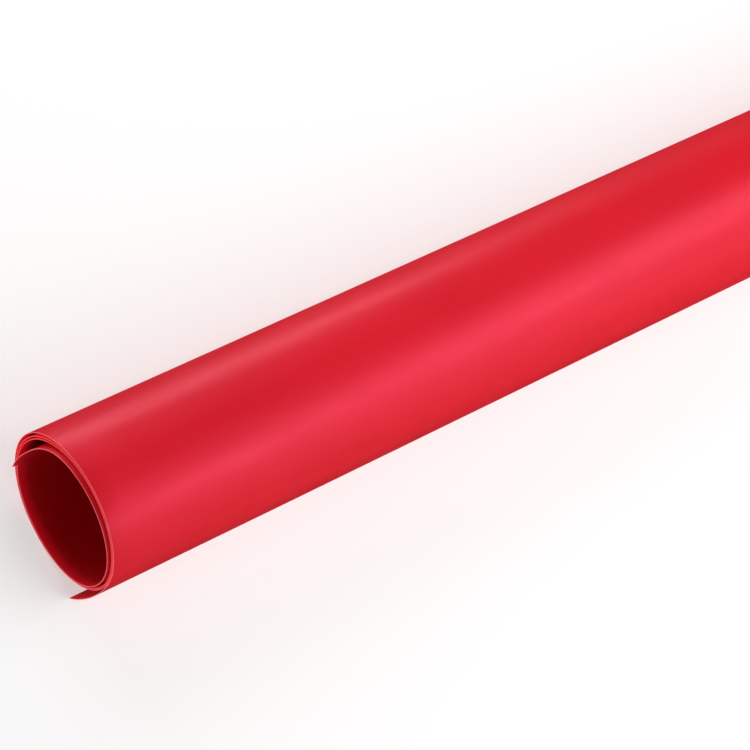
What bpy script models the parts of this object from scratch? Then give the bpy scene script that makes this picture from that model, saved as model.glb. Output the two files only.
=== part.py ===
"""Backdrop sheet for table-top photography, wound into a loose hollow roll that lies on its side.

The roll is one plastic sheet and nothing else: it has no core tube, bands or end caps.  X runs
along the roll, Z is up, and the origin is the middle of the roll's footprint on the floor.  The
sheet's outer edge hangs away from the roll as a flap that props it, and its inner edge springs
into the hollow as a lip.  Both bend where they leave the roll, so each is a piece of its own,
parted from the roll by a narrow slit, with its origin on the line it bends about.
"""

import bmesh
import bpy
import numpy as np

# The flat sheet
SHEET_WIDTH = 1.000
SHEET_LENGTH = 1.300
SHEET_THICKNESS = 0.0006

# How it is wound.  Each row is one turn, from the outside in: the radius of the sheet's middle
# surface in millimetres, every 45 degrees from the direction of the outer edge.
TURN_RADII_MM = (
    (56.4, 56.7, 57.7, 58.0, 56.9, 57.4, 58.4, 57.0),
    (55.4, 55.8, 56.5, 56.4, 54.8, 54.9, 57.2, 55.9),
    (54.4, 54.7, 55.4, 55.2, 52.8, 53.1, 56.1, 54.8),
    (53.3, 52.4, 53.6, 53.2, 50.7, 46.6, 57.0),
)
STATION_STEP = np.radians(45.0)
FIRST_STATION = np.radians(225.0)

# The outer edge: where it lies, and how far it springs clear of the roll
OUTER_EDGE = np.radians(222.3)
FLAP_RISE = 0.0186
FLAP_SPAN = np.radians(60.0)
FLAP_CURVE = 2.3
FLAP_LENGTH = 0.056

# The inner edge: the lip's length, and how far the innermost turn has crept out of the roll's end
LIP_LENGTH = 0.072
CREEP = 0.0052
CREEP_LENGTH = 0.280

# How it lies: the turn that brings the flap's edge level with the roll, and how far it is pressed flat
LYING_TURN = np.radians(-1.75)
FLOOR_PRESS = 0.00015

# Fineness and clearances
SLIT = 0.0005
FACET_LENGTH = 0.004
TRACE_STEP = np.radians(0.25)
TRACE_TURNS = 3.85
SMOOTH_ANGLE = np.radians(30.0)

SHEET_RED = (0.63, 0.022, 0.032, 1.0)
SHEET_ROUGHNESS = 0.42


def clear_scene():
    """Remove every object in the scene."""
    for thing in list(bpy.data.objects):
        bpy.data.objects.remove(thing, do_unlink=True)


def spline_bends(values):
    """Second differences that make a smooth cubic through evenly spaced values."""
    count = len(values)
    system = np.eye(count)
    target = np.zeros(count)
    for i in range(1, count - 1):
        system[i, i - 1:i + 2] = (1.0, 4.0, 1.0)
        target[i] = 6.0 * (values[i - 1] - 2.0 * values[i] + values[i + 1])
    return np.linalg.solve(system, target)


RADII = np.array([radius for turn in TURN_RADII_MM for radius in turn]) / 1000.0
BENDS = spline_bends(RADII)


def wound_radius(angle):
    """Radius of the sheet's middle surface at a winding angle counted on through the turns."""
    place = (angle - FIRST_STATION) / STATION_STEP
    start = np.clip(np.floor(place).astype(int), 0, len(RADII) - 2)
    after = place - start
    before = 1.0 - after
    radius = before * RADII[start] + after * RADII[start + 1]
    radius += ((before ** 3 - before) * BENDS[start] + (after ** 3 - after) * BENDS[start + 1]) / 6.0
    spring = np.clip(1.0 - (angle - OUTER_EDGE) / FLAP_SPAN, 0.0, None)
    return radius + FLAP_RISE * spring ** FLAP_CURVE


def free_section(angle):
    """Points of the middle surface about the roll's axis, before it is laid on the floor."""
    radius = wound_radius(angle)
    turned = angle + LYING_TURN
    return np.stack([radius * np.sin(turned), radius * np.cos(turned)], axis=-1)


class Winding:
    """The sheet's middle surface, laid on the floor and measured along its length."""

    def __init__(self):
        self.angles = OUTER_EDGE + np.arange(0.0, TRACE_TURNS * 2.0 * np.pi, TRACE_STEP)
        free = free_section(self.angles)
        steps = np.linalg.norm(np.diff(free, axis=0), axis=1)
        self.lengths = np.concatenate([[0.0], np.cumsum(steps)])
        sheet = free[self.lengths < SHEET_LENGTH]
        self.lift = SHEET_THICKNESS / 2.0 - sheet[:, 1].min() - FLOOR_PRESS
        self.shift = -(sheet[:, 0].min() + sheet[:, 0].max()) / 2.0

    def points(self, angle):
        """Middle surface in Y and Z, pressed flat where it meets the floor."""
        laid = free_section(angle) + (self.shift, self.lift)
        laid[..., 1] = np.maximum(laid[..., 1], SHEET_THICKNESS / 2.0)
        return laid

    def at(self, lengths):
        """Middle surface and its outward normals at lengths from the outer edge."""
        angle = np.interp(lengths, self.lengths, self.angles)
        along = self.points(angle + TRACE_STEP) - self.points(angle - TRACE_STEP)
        along /= np.linalg.norm(along, axis=-1, keepdims=True)
        outward = np.stack([-along[..., 1], along[..., 0]], axis=-1)
        return self.points(angle), outward


def creep_at(lengths):
    """How far the sheet has slid along the roll, towards its near end, at each length."""
    return CREEP * np.clip(1.0 - (SHEET_LENGTH - lengths) / CREEP_LENGTH, 0.0, 1.0)


def sheet_material():
    """Red matt plastic."""
    material = bpy.data.materials.new("red_sheet")
    material.use_nodes = True
    shader = material.node_tree.nodes["Principled BSDF"]
    shader.inputs["Base Color"].default_value = SHEET_RED
    shader.inputs["Roughness"].default_value = SHEET_ROUGHNESS
    shader.inputs["Metallic"].default_value = 0.0
    return material


def sheet_piece(name, winding, start, end, origin, material):
    """A closed strip of the sheet between two lengths, with its origin at a point of the section."""
    count = round((end - start) / FACET_LENGTH)
    lengths = np.linspace(start, end, count + 1)
    middle, outward = winding.at(lengths)
    outer = middle + outward * SHEET_THICKNESS / 2.0 - origin
    inner = middle - outward * SHEET_THICKNESS / 2.0 - origin
    near = CREEP / 2.0 - SHEET_WIDTH / 2.0 - creep_at(lengths)
    shape = bmesh.new()
    rings = []
    for i in range(count + 1):
        corners = (
            (near[i], *outer[i]),
            (near[i], *inner[i]),
            (near[i] + SHEET_WIDTH, *inner[i]),
            (near[i] + SHEET_WIDTH, *outer[i]),
        )
        rings.append([shape.verts.new(corner) for corner in corners])
    for ring, following in zip(rings, rings[1:]):
        for i in range(4):
            j = (i + 1) % 4
            shape.faces.new((ring[i], ring[j], following[j], following[i]))
    shape.faces.new(rings[0])
    shape.faces.new(reversed(rings[-1]))
    bmesh.ops.recalc_face_normals(shape, faces=shape.faces)
    mesh = bpy.data.meshes.new(name)
    shape.to_mesh(mesh)
    shape.free()
    mesh.materials.append(material)
    mesh.shade_smooth()
    mesh.set_sharp_from_angle(angle=SMOOTH_ANGLE)
    piece = bpy.data.objects.new(name, mesh)
    piece.location = (0.0, *origin)
    bpy.context.collection.objects.link(piece)
    return piece


def build():
    """The roll, and the two free ends that bend where they leave it."""
    clear_scene()
    winding = Winding()
    material = sheet_material()
    lip_root = SHEET_LENGTH - LIP_LENGTH
    bends, _ = winding.at(np.array([FLAP_LENGTH, lip_root]))
    half_slit = SLIT / 2.0
    floor_point = np.zeros(2)
    sheet_piece("outer_flap", winding, 0.0, FLAP_LENGTH - half_slit, bends[0], material)
    sheet_piece("rolled_sheet", winding, FLAP_LENGTH + half_slit, lip_root - half_slit, floor_point, material)
    sheet_piece("inner_lip", winding, lip_root + half_slit, SHEET_LENGTH, bends[1], material)


build()
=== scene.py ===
"""Looks of a studio backdrop sheet, wound into a loose hollow roll that lies on its side.

One plastic sheet is built in three stretches: the wound turns, the free outer edge that hangs as a
flap, and the free inner edge that springs into the hollow as a lip.  Their surfaces meet without a
seam.
"""

import math

import bpy
import numpy as np
from bpy.props import FloatProperty, FloatVectorProperty, IntProperty, PointerProperty
from mathutils import Euler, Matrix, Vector


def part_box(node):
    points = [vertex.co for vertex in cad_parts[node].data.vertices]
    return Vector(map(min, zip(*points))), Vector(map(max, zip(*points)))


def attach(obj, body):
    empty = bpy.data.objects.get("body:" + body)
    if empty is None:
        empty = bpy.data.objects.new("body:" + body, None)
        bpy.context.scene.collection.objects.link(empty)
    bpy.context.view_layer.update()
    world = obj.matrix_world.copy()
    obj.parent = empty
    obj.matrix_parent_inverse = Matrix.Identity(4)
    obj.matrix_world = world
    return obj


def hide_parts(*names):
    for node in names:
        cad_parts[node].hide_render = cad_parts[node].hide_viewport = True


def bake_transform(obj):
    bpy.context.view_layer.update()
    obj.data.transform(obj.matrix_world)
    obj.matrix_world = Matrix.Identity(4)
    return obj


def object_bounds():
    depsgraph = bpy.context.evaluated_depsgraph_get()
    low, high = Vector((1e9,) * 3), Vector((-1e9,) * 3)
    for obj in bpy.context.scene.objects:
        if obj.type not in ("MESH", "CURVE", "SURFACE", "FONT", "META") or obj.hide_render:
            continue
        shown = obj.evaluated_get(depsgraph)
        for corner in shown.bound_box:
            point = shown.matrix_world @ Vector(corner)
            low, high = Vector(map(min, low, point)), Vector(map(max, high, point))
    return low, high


bl_info = {
    "name": "Backdrop Sheet Roll",
    "version": (1, 0, 0),
    "blender": (4, 5, 0),
    "location": "3D View > Sidebar > Backdrop",
    "description": "Builds a loose roll of plastic backdrop sheet and the studio around it",
    "category": "Add Mesh",
}

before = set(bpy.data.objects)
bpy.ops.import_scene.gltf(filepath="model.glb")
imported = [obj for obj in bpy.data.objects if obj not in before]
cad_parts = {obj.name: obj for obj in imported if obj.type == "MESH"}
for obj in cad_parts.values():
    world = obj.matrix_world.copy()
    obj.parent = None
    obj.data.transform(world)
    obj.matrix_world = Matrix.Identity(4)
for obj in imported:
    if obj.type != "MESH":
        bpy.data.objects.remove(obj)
CAD_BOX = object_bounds()
ROLL_LOW, ROLL_HIGH = (Vector(corner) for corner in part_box("rolled_sheet"))

# How the sheet is wound.  Each row is one turn, from the outside in: the radius of the sheet's
# middle surface in millimetres, every 45 degrees from the direction of the outer edge.
TURN_RADII_MM = (
    (56.4, 56.7, 57.7, 58.0, 56.9, 57.4, 58.4, 57.0),
    (55.4, 55.8, 56.5, 56.4, 54.8, 54.9, 57.2, 55.9),
    (54.4, 54.7, 55.4, 55.2, 52.8, 53.1, 56.1, 54.8),
    (53.3, 52.4, 53.6, 53.2, 50.7, 46.6, 57.0),
)
STATION_STEP = math.radians(45.0)
FIRST_STATION = math.radians(225.0)

# The outer edge: where it lies, and how far it springs clear of the roll
OUTER_EDGE = math.radians(222.3)
FLAP_RISE = 0.0186
FLAP_SPAN = math.radians(60.0)
FLAP_CURVE = 2.3
FLAP_LENGTH = 0.056

# The inner edge: the lip's length, and how far the innermost turn has crept out of the roll's end
LIP_LENGTH = 0.072
CREEP = 0.0052
CREEP_LENGTH = 0.280

# How it lies, and how finely its winding is traced
LYING_TURN = math.radians(-1.75)
FLOOR_PRESS = 0.00015
TRACE_STEP = math.radians(0.25)
TRACE_TURNS = 3.85

# The free ends: how far inside the roll their seams lie, and the length of sheet that each end bends
# over, counted from its seam
SEAM_DEPTH = 0.006
FLAP_BEND_LENGTH = 0.024
LIP_BEND_LENGTH = 0.030

# Slow waves of the whole roll: waves around it, phase per metre along it, phase, and share of the height
SLOW_WAVES = (
    (2.0, 5.3, 0.7, 0.50),
    (3.0, -11.0, 2.1, 0.25),
    (1.0, 8.1, 4.0 + math.pi / 2.0, 0.25),
)

# The cut edge's rounding: its depth, the share of the thickness that stays flat, and its steps
EDGE_ROUNDING = 0.00028
EDGE_FLAT = 0.25
EDGE_STEPS = 3

# The mesh: its fewest rows, the angle that stays sharp, its material slots, and the attribute that holds
# each point's place on the sheet, as metres across it, metres along it, and the share of the
# painted red glow that it shows
FEWEST_ROWS = 8
SHARP_ANGLE = math.radians(35.0)
PLACE = "sheet_place"
FACE_SLOT = 0
EDGE_SLOT = 1
FACE_MATERIAL = "red_sheet_face"
EDGE_MATERIAL = "red_sheet_edge"

# The face's finish.  Sizes are in bumps to the metre, heights in metres, and shades are factors on the
# sheet's colour
SPECULAR_LEVEL = 0.64
SPECULAR_TINT = (1.0, 0.28, 0.56, 1.0)
METALLIC_SHARE = 0.06
TONE_SIZE = 9.0
TONE_SHADES = (0.96, 1.03)
SPECK_SIZE = 900.0
SPECK_DETAIL = 1.0
SPECK_SHADE = 0.93
SPECK_SHARE = 0.5
RUB_SIZE = 60.0
RUB_DETAIL = 4.0
RUB_STRETCH = (0.25, 1.0, 1.0)
RUB_ROUGHNESS = (-0.04, 0.05)
GRAIN_SIZE = 1400.0
GRAIN_HEIGHT = 0.00006
GRAIN_STRENGTH = 0.35
RIPPLE_SIZE = 22.0
RIPPLE_STRETCH = (0.35, 1.0, 1.0)
RIPPLE_HEIGHT = 0.0006
RIPPLE_STRENGTH = 0.25

# The cut edge's finish
STREAK_SIZE = 260.0
STREAK_DETAIL = 3.0
STREAK_SHADES = (0.90, 1.06)
STREAK_ROUGHNESS = (0.55, 0.75)
STREAK_HEIGHT = 0.00004
STREAK_STRENGTH = 0.4

# Noise: its plain and rough detail, an even scale, and the span that most of its values fall in
PLAIN_DETAIL = 2.0
PLAIN_NOISE = 0.5
ROUGH_NOISE = 0.6
UNSTRETCHED = (1.0, 1.0, 1.0)
NOISE_SPAN = (0.3, 0.7)
FULL_SPAN = (0.0, 1.0)

# Painted light: a red glow on the sheet that no lamp casts.  What glows at its cut edge, what glows in
# the gaps between turns near the roll's ends, how deep, over what length of sheet it starts, and its
# share on the wall of the hollow
EDGE_PAINTED_GLOW = (0.30, 0.016, 0.022, 1.0)
GAP_PAINTED_GLOW = (0.27, 0.002, 0.006, 1.0)
GAP_PAINTED_GLOW_DEPTH = 0.0085
GAP_FADE = 0.030
HOLLOW_SHARE = 0.65

BLACK = (0.0, 0.0, 0.0, 1.0)
WHITE = (1.0, 1.0, 1.0, 1.0)

# Sockets of a Mix node that mixes colours
MIX_FIRST = 6
MIX_SECOND = 7
MIX_RESULT = 2

# The floor: its size, its own light, its finish, and its slow tone changes
FLOOR_SIZE = 40.0
FLOOR_GLOW = 0.55
FLOOR_ROUGHNESS = 0.9
FLOOR_SPECULAR = 0.1
FLOOR_TONE_SIZE = 6.0
FLOOR_TONE = 0.005

# Area lights, each with its place and its size.  They all face the same point of the roll
LIGHT_AIM = (0.10, 0.0, 0.06)
KEY_LIGHT = ((0.95, -0.72, 1.50), (2.9, 0.50))
FILL_LIGHT = ((1.00, -1.90, 0.80), (2.4, 1.40))
FILL_SHINE = 0.3
END_LIGHT = ((-0.56, -0.20, 1.50), (0.12, 0.50))
SIDE_STRIP = ((0.00, 1.20, 0.065), (1.1, 0.12))
SIDE_LIGHT = ((-0.10, 1.15, 0.95), (1.3, 0.60))

# The room's light: its lowest share, and the X parts of the directions where it is lowest and full
NEAR_END_DIMMING = 0.10
DIMMEST_X = -0.5
FULL_ROOM_X = 0.1


def spline_bends(values):
    """Second differences that make a smooth cubic through evenly spaced values."""
    count = len(values)
    system = np.eye(count)
    target = np.zeros(count)
    for i in range(1, count - 1):
        system[i, i - 1:i + 2] = (1.0, 4.0, 1.0)
        target[i] = 6.0 * (values[i - 1] - 2.0 * values[i] + values[i + 1])
    return np.linalg.solve(system, target)


RADII = np.array([radius for turn in TURN_RADII_MM for radius in turn]) / 1000.0
BENDS = spline_bends(RADII)


def wound_radius(angle):
    """Radius of the sheet's middle surface at a winding angle counted on through the turns."""
    place = (angle - FIRST_STATION) / STATION_STEP
    start = np.clip(np.floor(place).astype(int), 0, len(RADII) - 2)
    after = place - start
    before = 1.0 - after
    radius = before * RADII[start] + after * RADII[start + 1]
    radius += ((before ** 3 - before) * BENDS[start] + (after ** 3 - after) * BENDS[start + 1]) / 6.0
    spring = np.clip(1.0 - (angle - OUTER_EDGE) / FLAP_SPAN, 0.0, None)
    return radius + FLAP_RISE * spring ** FLAP_CURVE


def free_section(angle):
    """Points of the middle surface about the roll's axis, before it is laid on the floor."""
    radius = wound_radius(angle)
    turned = angle + LYING_TURN
    return np.stack([radius * np.sin(turned), radius * np.cos(turned)], axis=-1)


class Winding:
    """The sheet's middle surface, laid on the floor and measured along its length."""

    def __init__(self, length, thickness):
        self.length = length
        self.half = thickness / 2.0
        self.angles = OUTER_EDGE + np.arange(0.0, TRACE_TURNS * 2.0 * math.pi, TRACE_STEP)
        free = free_section(self.angles)
        steps = np.linalg.norm(np.diff(free, axis=0), axis=1)
        self.lengths = np.concatenate([[0.0], np.cumsum(steps)])
        sheet = free[self.lengths < length]
        self.lift = self.half - sheet[:, 1].min() - FLOOR_PRESS
        self.shift = -(sheet[:, 0].min() + sheet[:, 0].max()) / 2.0

    def points(self, angle):
        """Middle surface in Y and Z, pressed flat where it meets the floor."""
        laid = free_section(angle) + (self.shift, self.lift)
        laid[..., 1] = np.maximum(laid[..., 1], self.half)
        return laid

    def at(self, lengths):
        """Middle surface and its outward normals at lengths from the outer edge."""
        angle = np.interp(lengths, self.lengths, self.angles)
        along = self.points(angle + TRACE_STEP) - self.points(angle - TRACE_STEP)
        along /= np.linalg.norm(along, axis=-1, keepdims=True)
        outward = np.stack([-along[..., 1], along[..., 0]], axis=-1)
        return self.points(angle), outward

    def creep(self, lengths):
        """How far the sheet has slid along the roll, towards its near end, at each length."""
        return CREEP * np.clip(1.0 - (self.length - lengths) / CREEP_LENGTH, 0.0, 1.0)


class BackdropSheetSettings(bpy.types.PropertyGroup):
    """Sizes and finish of the sheet"""

    width: FloatProperty(
        name="Width",
        description="Width of the sheet, which runs along the roll",
        default=1.000,
        unit="LENGTH",
    )
    length: FloatProperty(
        name="Length",
        description="Length of the sheet before it was wound",
        default=1.300,
        unit="LENGTH",
    )
    thickness: FloatProperty(
        name="Thickness",
        description="Thickness of the sheet",
        default=0.0006,
        unit="LENGTH",
    )
    waviness: FloatProperty(
        name="Waviness",
        description="Height of the slow waves that a loose roll has",
        default=0.00022,
        unit="LENGTH",
    )
    facet: FloatProperty(
        name="Facet",
        description="Size of the mesh's faces around the roll",
        default=0.0020,
        unit="LENGTH",
    )
    bays: IntProperty(
        name="Bays",
        description="Number of faces along the roll",
        default=64,
        min=8,
    )
    face_colour: FloatVectorProperty(
        name="Face colour",
        description="Colour of the sheet's two faces",
        default=(0.80, 0.0105, 0.021),
        subtype="COLOR",
        size=3,
    )
    edge_colour: FloatVectorProperty(
        name="Edge colour",
        description="Colour of the cut edges, paler than the faces",
        default=(0.92, 0.20, 0.23),
        subtype="COLOR",
        size=3,
    )
    roughness: FloatProperty(
        name="Roughness",
        description="Roughness of the matt face",
        default=0.42,
        subtype="FACTOR",
        min=0.0,
        max=1.0,
    )


class BackdropStageSettings(bpy.types.PropertyGroup):
    """Floor, lights and camera"""

    floor_colour: FloatVectorProperty(
        name="Floor colour",
        description="Colour of the plain floor",
        default=(0.50, 0.50, 0.50),
        subtype="COLOR",
        size=3,
    )
    key_power: FloatProperty(
        name="Key light",
        description="Power of the long light over the roll",
        default=27.0,
        unit="POWER",
    )
    fill_power: FloatProperty(
        name="Fill light",
        description="Power of the broad light on the flap's side",
        default=26.0,
        unit="POWER",
    )
    side_power: FloatProperty(
        name="Side light",
        description="Power of the broad light on the roll's plain side",
        default=7.7,
        unit="POWER",
    )
    strip_power: FloatProperty(
        name="Side strip",
        description="Power of the low strip that draws the highlight on the plain side",
        default=4.4,
        unit="POWER",
    )
    end_power: FloatProperty(
        name="End light",
        description="Power of the light over the roll's near end",
        default=2.0,
        unit="POWER",
    )
    room_light: FloatProperty(
        name="Room light",
        description="Strength of the even light from the room",
        default=0.30,
        min=0.0,
    )
    lens: FloatProperty(
        name="Lens",
        description="Focal length of the camera's lens, in millimetres on a 36 mm sensor",
        default=146.54,
    )
    camera_offset: FloatVectorProperty(
        name="Camera place",
        description="Camera's place from the middle of the roll's near end",
        default=(-0.8148, -0.1746, 1.8476),
        subtype="TRANSLATION",
        size=3,
    )
    camera_turn: FloatVectorProperty(
        name="Camera turn",
        description="Camera's rotation about X, Y and Z",
        default=(math.radians(18.858), math.radians(-24.388), math.radians(-30.617)),
        subtype="EULER",
        size=3,
    )


def slow_waves(across, around, height):
    """Height of the slow waves that the whole roll shares, at places along and around it."""
    wave = 0.0
    for turns, slant, phase, share in SLOW_WAVES:
        wave = wave + share * np.sin(turns * around + slant * across + phase)
    return height * wave


def sheet_columns(sheet):
    """Places across the sheet, closer together at its rounded edges, and the thickness's share there."""
    step = np.linspace(0.0, 1.0, EDGE_STEPS + 1) * math.pi / 2.0
    inset = EDGE_ROUNDING * (1.0 - np.cos(step))
    rounding = EDGE_FLAT + (1.0 - EDGE_FLAT) * np.sin(step)
    inner = np.linspace(0.0, sheet.width, sheet.bays + 1)[1:-1]
    across = np.concatenate([inset, inner, sheet.width - inset[::-1]])
    fullness = np.concatenate([rounding, np.ones(len(inner)), rounding[::-1]])
    return across, fullness


def sheet_surfaces(winding, sheet, start, end):
    """Outer and inner points of a stretch of the sheet, and their places across and along it."""
    rows = max(FEWEST_ROWS, round((end - start) / sheet.facet))
    lengths = np.linspace(start, end, rows + 1)
    across, fullness = sheet_columns(sheet)
    middle, outward = winding.at(lengths)
    near = CREEP / 2.0 - sheet.width / 2.0 - winding.creep(lengths)
    x = near[:, None] + across[None, :]
    around = np.interp(lengths, winding.lengths, winding.angles)
    wave = slow_waves(x, around[:, None], sheet.waviness)
    waved = middle[:, None, :] + outward[:, None, :] * wave[..., None]
    waved[..., 1] = np.maximum(waved[..., 1], winding.half)
    offset = outward[:, None, :] * (winding.half * fullness)[None, :, None]
    outer = np.concatenate([x[..., None], waved + offset], axis=-1)
    inner = np.concatenate([x[..., None], waved - offset], axis=-1)
    place = np.stack(np.broadcast_arrays(across[None, :], lengths[:, None]), axis=-1)
    return outer, inner, place


def painted_glow_shares(lengths, total):
    """Shares of the painted red glow on the outer and inner faces, at lengths of the sheet."""
    one_turn = math.pi * (RADII[0] + RADII[-1])
    covered = np.clip((lengths - one_turn) / GAP_FADE, 0.0, 1.0)
    innermost = np.clip((lengths - total + one_turn) / GAP_FADE, 0.0, 1.0)
    outer = covered * (1.0 - innermost)
    inner = 1.0 - (1.0 - HOLLOW_SHARE) * innermost
    return outer, inner


def stretch_faces(rows, columns, start_slot, end_slot):
    """Corner numbers and material slots of a stretch's faces: two sides, cut edges and ends."""
    outer = np.arange(rows * columns).reshape(rows, columns)
    inner = outer + rows * columns
    sides = np.full(columns - 1, FACE_SLOT)
    sides[:EDGE_STEPS] = EDGE_SLOT
    sides[-EDGE_STEPS:] = EDGE_SLOT
    patches = (
        (outer[:-1, :-1], outer[1:, :-1], outer[1:, 1:], outer[:-1, 1:], sides),
        (inner[:-1, :-1], inner[:-1, 1:], inner[1:, 1:], inner[1:, :-1], sides),
        (outer[:-1, 0], inner[:-1, 0], inner[1:, 0], outer[1:, 0], EDGE_SLOT),
        (outer[:-1, -1], outer[1:, -1], inner[1:, -1], inner[:-1, -1], EDGE_SLOT),
        (outer[0, :-1], outer[0, 1:], inner[0, 1:], inner[0, :-1], start_slot),
        (outer[-1, :-1], inner[-1, :-1], inner[-1, 1:], outer[-1, 1:], end_slot),
    )
    faces = []
    slots = []
    for *corners, slot in patches:
        quads = np.stack(corners, axis=-1)
        faces.append(quads.reshape(-1, 4))
        slots.append(np.broadcast_to(slot, quads.shape[:-1]).ravel())
    return np.concatenate(faces), np.concatenate(slots)


def stretch_mesh(name, sheet, start, end):
    """Closed mesh of a stretch of the sheet between two lengths, with the attribute of its places."""
    winding = Winding(sheet.length, sheet.thickness)
    outer, inner, place = sheet_surfaces(winding, sheet, start, end)
    points = np.concatenate([outer.reshape(-1, 3), inner.reshape(-1, 3)])
    start_slot = EDGE_SLOT if start == 0.0 else FACE_SLOT
    end_slot = EDGE_SLOT if end == sheet.length else FACE_SLOT
    faces, slots = stretch_faces(*place.shape[:2], start_slot, end_slot)
    mesh = bpy.data.meshes.new(name)
    mesh.from_pydata(points.tolist(), [], faces.tolist())
    mesh.polygons.foreach_set("material_index", slots.astype(np.int32))
    places = np.zeros((len(points), 3), dtype=np.float32)
    places[:, :2] = np.concatenate([place.reshape(-1, 2)] * 2)
    places[:, 2] = np.concatenate(painted_glow_shares(place[..., 1].ravel(), sheet.length))
    attribute = mesh.attributes.new(PLACE, "FLOAT_VECTOR", "POINT")
    attribute.data.foreach_set("vector", places.ravel())
    mesh.update()
    return mesh


def sheet_stretch(name, start, end):
    """One stretch of the sheet between two lengths, as an object with the sheet's materials."""
    sheet = bpy.context.scene.backdrop_sheet
    mesh = stretch_mesh(name, sheet, start, end)
    mesh.shade_smooth()
    mesh.set_sharp_from_angle(angle=SHARP_ANGLE)
    mesh.materials.append(face_material(sheet))
    mesh.materials.append(edge_material(sheet))
    piece = bpy.data.objects.new(name, mesh)
    bpy.context.collection.objects.link(piece)
    return piece


def bend_ends(sheet, first, last):
    """Two points of the sheet's middle surface, where a free end starts and stops bending."""
    winding = Winding(sheet.length, sheet.thickness)
    spots, _ = winding.at(np.array([first, last]))
    return [Vector((0.0, *spot)) for spot in spots]


class NodeBench:
    """A material's node tree, with short ways to add and join its nodes."""

    def __init__(self, name):
        self.material = bpy.data.materials.new(name)
        self.material.use_nodes = True
        self.tree = self.material.node_tree
        self.shader = self.tree.nodes["Principled BSDF"]

    def add(self, kind, **settings):
        """A new node of a kind, with its settings."""
        node = self.tree.nodes.new(kind)
        for key, value in settings.items():
            setattr(node, key, value)
        return node

    def join(self, source, target):
        """A link from an output to an input."""
        self.tree.links.new(source, target)

    def drive(self, source, name):
        """A link from an output to one of the shader's inputs."""
        self.join(source, self.shader.inputs[name])

    def noise(self, size, detail=PLAIN_DETAIL, roughness=PLAIN_NOISE, stretch=UNSTRETCHED):
        """Noise over the sheet; size is in bumps to the metre, and stretch scales it each way."""
        spot = self.add("ShaderNodeAttribute", attribute_name=PLACE)
        mapping = self.add("ShaderNodeMapping")
        mapping.inputs["Scale"].default_value = stretch
        self.join(spot.outputs["Vector"], mapping.inputs["Vector"])
        node = self.add("ShaderNodeTexNoise")
        node.inputs["Scale"].default_value = size
        node.inputs["Detail"].default_value = detail
        node.inputs["Roughness"].default_value = roughness
        self.join(mapping.outputs["Vector"], node.inputs["Vector"])
        return node.outputs["Fac"]

    def remap(self, value, low, high, span=NOISE_SPAN):
        """A value from a span moved to the span from low to high."""
        node = self.add("ShaderNodeMapRange")
        node.inputs["From Min"].default_value = span[0]
        node.inputs["From Max"].default_value = span[1]
        node.inputs["To Min"].default_value = low
        node.inputs["To Max"].default_value = high
        self.join(value, node.inputs["Value"])
        return node.outputs["Result"]

    def calculate(self, operation, first, second):
        """Two values added, multiplied or otherwise joined by a Math node."""
        node = self.add("ShaderNodeMath", operation=operation)
        self.join(first, node.inputs[0])
        self.join(second, node.inputs[1])
        return node.outputs["Value"]

    def mix(self, factor, first, second):
        """Two colours mixed by a factor."""
        node = self.add("ShaderNodeMix", data_type="RGBA")
        self.join(factor, node.inputs["Factor"])
        for value, socket in ((first, node.inputs[MIX_FIRST]), (second, node.inputs[MIX_SECOND])):
            if isinstance(value, tuple):
                socket.default_value = value
            else:
                self.join(value, socket)
        return node.outputs[MIX_RESULT]

    def bump(self, height, distance, strength, under=None):
        """A bump of a height, laid over another."""
        node = self.add("ShaderNodeBump")
        node.inputs["Strength"].default_value = strength
        node.inputs["Distance"].default_value = distance
        self.join(height, node.inputs["Height"])
        if under is not None:
            self.join(under, node.inputs["Normal"])
        return node.outputs["Normal"]


def shade(colour, factor):
    """A colour made darker or lighter by a factor, with full alpha."""
    return (*(min(1.0, part * factor) for part in colour), 1.0)


def painted_gap_glow(bench, width):
    """Mask of the painted red glow: high on faces in the gaps between turns, fading away from the roll's
    ends.
    """
    spot = bench.add("ShaderNodeAttribute", attribute_name=PLACE)
    parts = bench.add("ShaderNodeSeparateXYZ")
    bench.join(spot.outputs["Vector"], parts.inputs["Vector"])
    near = bench.remap(parts.outputs["X"], 1.0, 0.0, (0.0, GAP_PAINTED_GLOW_DEPTH))
    far = bench.remap(parts.outputs["X"], 0.0, 1.0, (width - GAP_PAINTED_GLOW_DEPTH, width))
    ends = bench.calculate("ADD", near, far)
    return bench.calculate("MULTIPLY", ends, parts.outputs["Z"])


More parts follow.
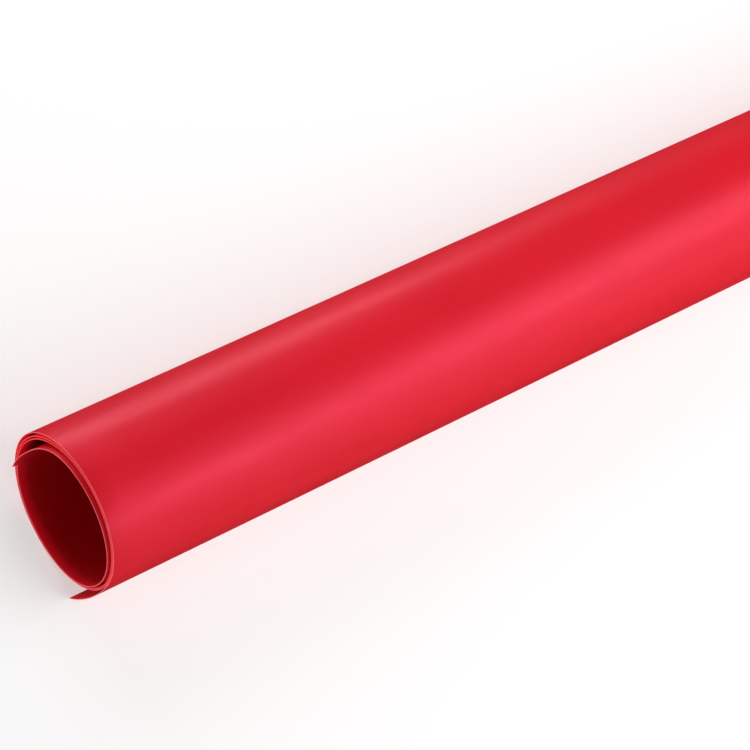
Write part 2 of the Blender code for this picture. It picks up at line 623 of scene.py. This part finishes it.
def face_material(sheet):
    """Matt plastic face: fine embossed grain, slow tone changes, faint handling marks, and a painted red
    glow near the roll's ends.
    """
    found = bpy.data.materials.get(FACE_MATERIAL)
    if found:
        return found
    bench = NodeBench(FACE_MATERIAL)
    colour = tuple(sheet.face_colour)

    tone = bench.remap(bench.noise(TONE_SIZE), 0.0, 1.0)
    darker, lighter = (shade(colour, factor) for factor in TONE_SHADES)
    toned = bench.mix(tone, darker, lighter)
    speck = bench.remap(bench.noise(SPECK_SIZE, SPECK_DETAIL), 0.0, SPECK_SHARE)
    bench.drive(bench.mix(speck, toned, shade(colour, SPECK_SHADE)), "Base Color")

    rub = bench.noise(RUB_SIZE, RUB_DETAIL, ROUGH_NOISE, RUB_STRETCH)
    smoother, rougher = (sheet.roughness + change for change in RUB_ROUGHNESS)
    bench.drive(bench.remap(rub, smoother, rougher), "Roughness")

    ripple = bench.noise(RIPPLE_SIZE, stretch=RIPPLE_STRETCH)
    rippled = bench.bump(ripple, RIPPLE_HEIGHT, RIPPLE_STRENGTH)
    grain = bench.noise(GRAIN_SIZE, roughness=ROUGH_NOISE)
    bench.drive(bench.bump(grain, GRAIN_HEIGHT, GRAIN_STRENGTH, rippled), "Normal")

    # Painted light: a red glow on the faces in the gaps between turns near the roll's ends, and on the
    # hollow's wall
    bench.drive(bench.mix(painted_gap_glow(bench, sheet.width), BLACK, GAP_PAINTED_GLOW), "Emission Color")
    bench.shader.inputs["Emission Strength"].default_value = 1.0
    bench.shader.inputs["Specular IOR Level"].default_value = SPECULAR_LEVEL
    bench.shader.inputs["Specular Tint"].default_value = SPECULAR_TINT
    bench.shader.inputs["Metallic"].default_value = METALLIC_SHARE
    return bench.material


def edge_material(sheet):
    """Cut edge: paler, dry and slightly streaked by the knife, with a painted red glow."""
    found = bpy.data.materials.get(EDGE_MATERIAL)
    if found:
        return found
    bench = NodeBench(EDGE_MATERIAL)
    colour = tuple(sheet.edge_colour)
    streak = bench.remap(bench.noise(STREAK_SIZE, STREAK_DETAIL), 0.0, 1.0)
    darker, lighter = (shade(colour, factor) for factor in STREAK_SHADES)
    bench.drive(bench.mix(streak, darker, lighter), "Base Color")
    bench.drive(bench.remap(streak, *STREAK_ROUGHNESS, FULL_SPAN), "Roughness")
    bench.drive(bench.bump(streak, STREAK_HEIGHT, STREAK_STRENGTH), "Normal")
    # Painted light: the cut edge glows red whatever the lamps do
    bench.shader.inputs["Emission Color"].default_value = EDGE_PAINTED_GLOW
    bench.shader.inputs["Emission Strength"].default_value = 1.0
    return bench.material


class BACKDROP_OT_rolled_sheet(bpy.types.Operator):
    """Build the wound turns of the sheet"""

    bl_idname = "backdrop.rolled_sheet"
    bl_label = "Rolled Sheet"

    def execute(self, context):
        sheet = context.scene.backdrop_sheet
        start = FLAP_LENGTH + SEAM_DEPTH
        end = sheet.length - LIP_LENGTH - SEAM_DEPTH
        piece = sheet_stretch("wound_turns", start, end)
        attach(piece, "roll")
        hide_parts("rolled_sheet")
        return {"FINISHED"}


class BACKDROP_OT_outer_flap(bpy.types.Operator):
    """Build the free outer edge, which hangs away from the roll"""

    bl_idname = "backdrop.outer_flap"
    bl_label = "Outer Flap"

    def execute(self, context):
        sheet = context.scene.backdrop_sheet
        end = FLAP_LENGTH + SEAM_DEPTH
        piece = sheet_stretch("hanging_flap", 0.0, end)
        still, bent = bend_ends(sheet, end, end - FLAP_BEND_LENGTH)
        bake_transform(piece)
        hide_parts("outer_flap")
        return {"FINISHED"}


class BACKDROP_OT_inner_lip(bpy.types.Operator):
    """Build the free inner edge, which springs into the hollow"""

    bl_idname = "backdrop.inner_lip"
    bl_label = "Inner Lip"

    def execute(self, context):
        sheet = context.scene.backdrop_sheet
        start = sheet.length - LIP_LENGTH - SEAM_DEPTH
        piece = sheet_stretch("sprung_lip", start, sheet.length)
        still, bent = bend_ends(sheet, start, start + LIP_BEND_LENGTH)
        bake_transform(piece)
        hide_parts("inner_lip")
        return {"FINISHED"}


def floor_material(colour):
    """Plain pale floor with a barely uneven paint."""
    bench = NodeBench("studio_floor")
    place = bench.add("ShaderNodeTexCoord")
    noise = bench.add("ShaderNodeTexNoise")
    noise.inputs["Scale"].default_value = FLOOR_TONE_SIZE
    bench.join(place.outputs["Object"], noise.inputs["Vector"])
    darker = shade(colour, 1.0 - FLOOR_TONE)
    lighter = shade(colour, 1.0 + FLOOR_TONE)
    bench.drive(bench.mix(noise.outputs["Fac"], darker, lighter), "Base Color")
    bench.shader.inputs["Roughness"].default_value = FLOOR_ROUGHNESS
    bench.shader.inputs["Specular IOR Level"].default_value = FLOOR_SPECULAR
    bench.shader.inputs["Emission Color"].default_value = WHITE
    bench.shader.inputs["Emission Strength"].default_value = FLOOR_GLOW
    return bench.material


def add_floor(stage):
    """A wide plain floor under the roll, which the roll's gloss doesn't show."""
    bpy.ops.mesh.primitive_plane_add(size=FLOOR_SIZE, location=(0.0, 0.0, CAD_BOX[0][2]))
    floor = bpy.context.object
    floor.name = "studio_floor"
    floor.data.materials.append(floor_material(tuple(stage.floor_colour)))
    floor.visible_glossy = False


def add_area_light(name, place_and_size, power, shine):
    """A rectangular soft light that faces the roll; without shine it adds no highlight."""
    place, size = place_and_size
    data = bpy.data.lights.new(name, "AREA")
    data.shape = "RECTANGLE"
    data.size, data.size_y = size
    data.energy = power
    light = bpy.data.objects.new(name, data)
    light.location = place
    facing = Vector(LIGHT_AIM) - Vector(place)
    light.rotation_euler = facing.to_track_quat("-Z", "Y").to_euler()
    light.visible_glossy = shine
    bpy.context.collection.objects.link(light)


def add_lights(stage):
    """A long light over the roll, softer ones beside it, and a low strip."""
    add_area_light("key_light", KEY_LIGHT, stage.key_power, True)
    add_area_light("fill_light", FILL_LIGHT, stage.fill_power * FILL_SHINE, True)
    add_area_light("fill_bounce", FILL_LIGHT, stage.fill_power * (1.0 - FILL_SHINE), False)
    add_area_light("end_light", END_LIGHT, stage.end_power, False)
    add_area_light("side_strip", SIDE_STRIP, stage.strip_power, True)
    add_area_light("side_bounce", SIDE_LIGHT, stage.side_power, False)


def add_room(strength):
    """Even light from the room, dimmer from before the roll's near end and without highlights."""
    world = bpy.data.worlds.new("studio_room")
    world.use_nodes = True
    tree = world.node_tree
    direction = tree.nodes.new("ShaderNodeTexCoord")
    parts = tree.nodes.new("ShaderNodeSeparateXYZ")
    level = tree.nodes.new("ShaderNodeMapRange")
    level.inputs["From Min"].default_value = DIMMEST_X
    level.inputs["From Max"].default_value = FULL_ROOM_X
    level.inputs["To Min"].default_value = strength * NEAR_END_DIMMING
    level.inputs["To Max"].default_value = strength
    tree.links.new(direction.outputs["Generated"], parts.inputs["Vector"])
    tree.links.new(parts.outputs["X"], level.inputs["Value"])
    tree.links.new(level.outputs["Result"], tree.nodes["Background"].inputs["Strength"])
    tree.nodes["Background"].inputs["Color"].default_value = WHITE
    bpy.context.scene.world = world
    world.cycles_visibility.glossy = False


def add_camera(stage):
    """The camera, over the roll's near end and looking along it."""
    near_end = Vector((CAD_BOX[0][0] + CREEP, 0.0, (ROLL_LOW.z + ROLL_HIGH.z) / 2.0))
    data = bpy.data.cameras.new("studio_camera")
    data.lens = stage.lens
    camera = bpy.data.objects.new("studio_camera", data)
    camera.location = near_end + Vector(stage.camera_offset)
    camera.rotation_euler = Euler(stage.camera_turn)
    bpy.context.collection.objects.link(camera)
    bpy.context.scene.camera = camera


class BACKDROP_OT_studio_stage(bpy.types.Operator):
    """Build the floor, the lights and the camera"""

    bl_idname = "backdrop.studio_stage"
    bl_label = "Studio Stage"

    def execute(self, context):
        stage = context.scene.backdrop_stage
        add_floor(stage)
        add_lights(stage)
        add_room(stage.room_light)
        add_camera(stage)
        context.scene.view_settings.view_transform = "Standard"
        return {"FINISHED"}


class BACKDROP_PT_panel(bpy.types.Panel):
    """Builders of the roll and its studio"""

    bl_label = "Backdrop Roll"
    bl_idname = "BACKDROP_PT_panel"
    bl_space_type = "VIEW_3D"
    bl_region_type = "UI"
    bl_category = "Backdrop"

    def draw(self, context):
        column = self.layout.column()
        for operator in OPERATORS:
            column.operator(operator.bl_idname)
        for group in (context.scene.backdrop_sheet, context.scene.backdrop_stage):
            for name in group.__annotations__:
                column.prop(group, name)


OPERATORS = (
    BACKDROP_OT_rolled_sheet,
    BACKDROP_OT_outer_flap,
    BACKDROP_OT_inner_lip,
    BACKDROP_OT_studio_stage,
)
CLASSES = (BackdropSheetSettings, BackdropStageSettings, *OPERATORS, BACKDROP_PT_panel)


def register():
    """Register the classes and the scene's settings."""
    for item in CLASSES:
        bpy.utils.register_class(item)
    bpy.types.Scene.backdrop_sheet = PointerProperty(type=BackdropSheetSettings)
    bpy.types.Scene.backdrop_stage = PointerProperty(type=BackdropStageSettings)


def unregister():
    """Remove the scene's settings and the classes."""
    del bpy.types.Scene.backdrop_stage
    del bpy.types.Scene.backdrop_sheet
    for item in reversed(CLASSES):
        bpy.utils.unregister_class(item)


def main():
    """Register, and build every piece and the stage."""
    register()
    bpy.ops.backdrop.rolled_sheet()
    bpy.ops.backdrop.outer_flap()
    bpy.ops.backdrop.inner_lip()
    bpy.ops.backdrop.studio_stage()


if __name__ == "__main__":
    main()
